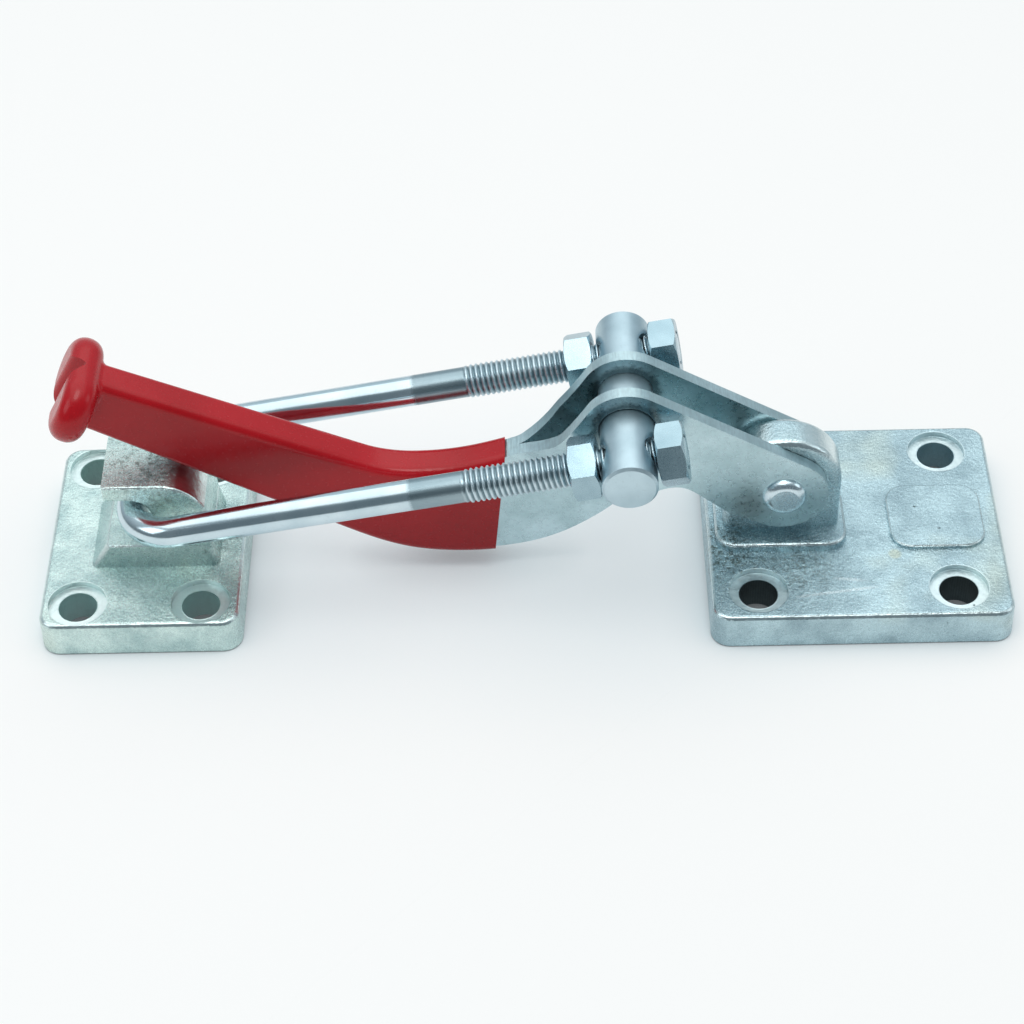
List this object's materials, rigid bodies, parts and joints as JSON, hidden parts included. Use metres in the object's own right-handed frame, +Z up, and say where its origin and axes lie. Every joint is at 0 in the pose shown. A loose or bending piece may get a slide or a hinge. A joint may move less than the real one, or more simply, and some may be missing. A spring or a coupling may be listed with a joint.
{
  "type": "toggle clamp",
  "caption": "Pull-action toggle clamp with a lugged base plate, a two-plate handle in a T-ended grip, a threaded U-bolt, and a hooked latch plate.",
  "frame": {"origin": "centre of the base plate's rectangle of mounting holes, on its underside", "axes": "+Z up, away from the mounting plane; +X along the pull, from the latch plate towards the base plate's stop pad; Y across, with the mirror plane at Y = 0"},
  "size_m": [0.2264, 0.063, 0.0644],
  "materials": {
    "zinc_casting": "zinc plated casting, fine grained, with small pits",
    "zinc_sheet": "zinc plated sheet steel, smooth satin",
    "red_vinyl": "soft dipped vinyl, satin gloss",
    "bright_steel": "bright zinc plated bar, polished",
    "nut_zinc": "zinc plated"
  },
  "bodies": {
    "base": {"base_plate": "zinc_casting"},
    "handle": {"near_handle_plate": "zinc_sheet", "far_handle_plate": "zinc_sheet", "grip_sleeve": "red_vinyl", "pivot_rivet": "bright_steel"},
    "trunnion": {"trunnion_pin": "bright_steel", "near_inner_nut": "nut_zinc", "near_outer_nut": "nut_zinc", "far_inner_nut": "nut_zinc", "far_outer_nut": "nut_zinc"},
    "u_bolt": {"u_bolt": "bright_steel"},
    "latch": {"latch_plate": "zinc_casting"}
  },
  "joints": [
    {"name": "handle_pivot", "type": "hinge", "parent": "base", "child": "handle", "pos_m": [-0.0169, 0, 0.0255], "axis": [0, 1, 0], "range_deg": [0, 154.9]},
    {"name": "trunnion_turn", "type": "hinge", "parent": "handle", "child": "trunnion", "pos_m": [-0.0535, 0, 0.0474], "axis": [0, 1, 0], "range_deg": [-142.1, 0]},
    {"name": "length_adjustment", "type": "slide", "parent": "trunnion", "child": "u_bolt", "axis": [0.9823, 0, 0.1874], "range_m": [-0.003, 0.0015]},
    {"name": "latch_turn", "type": "hinge", "parent": "u_bolt", "child": "latch", "pos_m": [-0.16843, 0, 0.02548], "axis": [0, 1, 0], "range_deg": [-14, 0]}
  ],
  "couplings": [
    {"joint": "trunnion_turn", "follows": "handle_pivot", "ratio": -0.91676},
    {"joint": "latch_turn", "follows": "handle_pivot", "ratio": -0.08324}
  ]
}
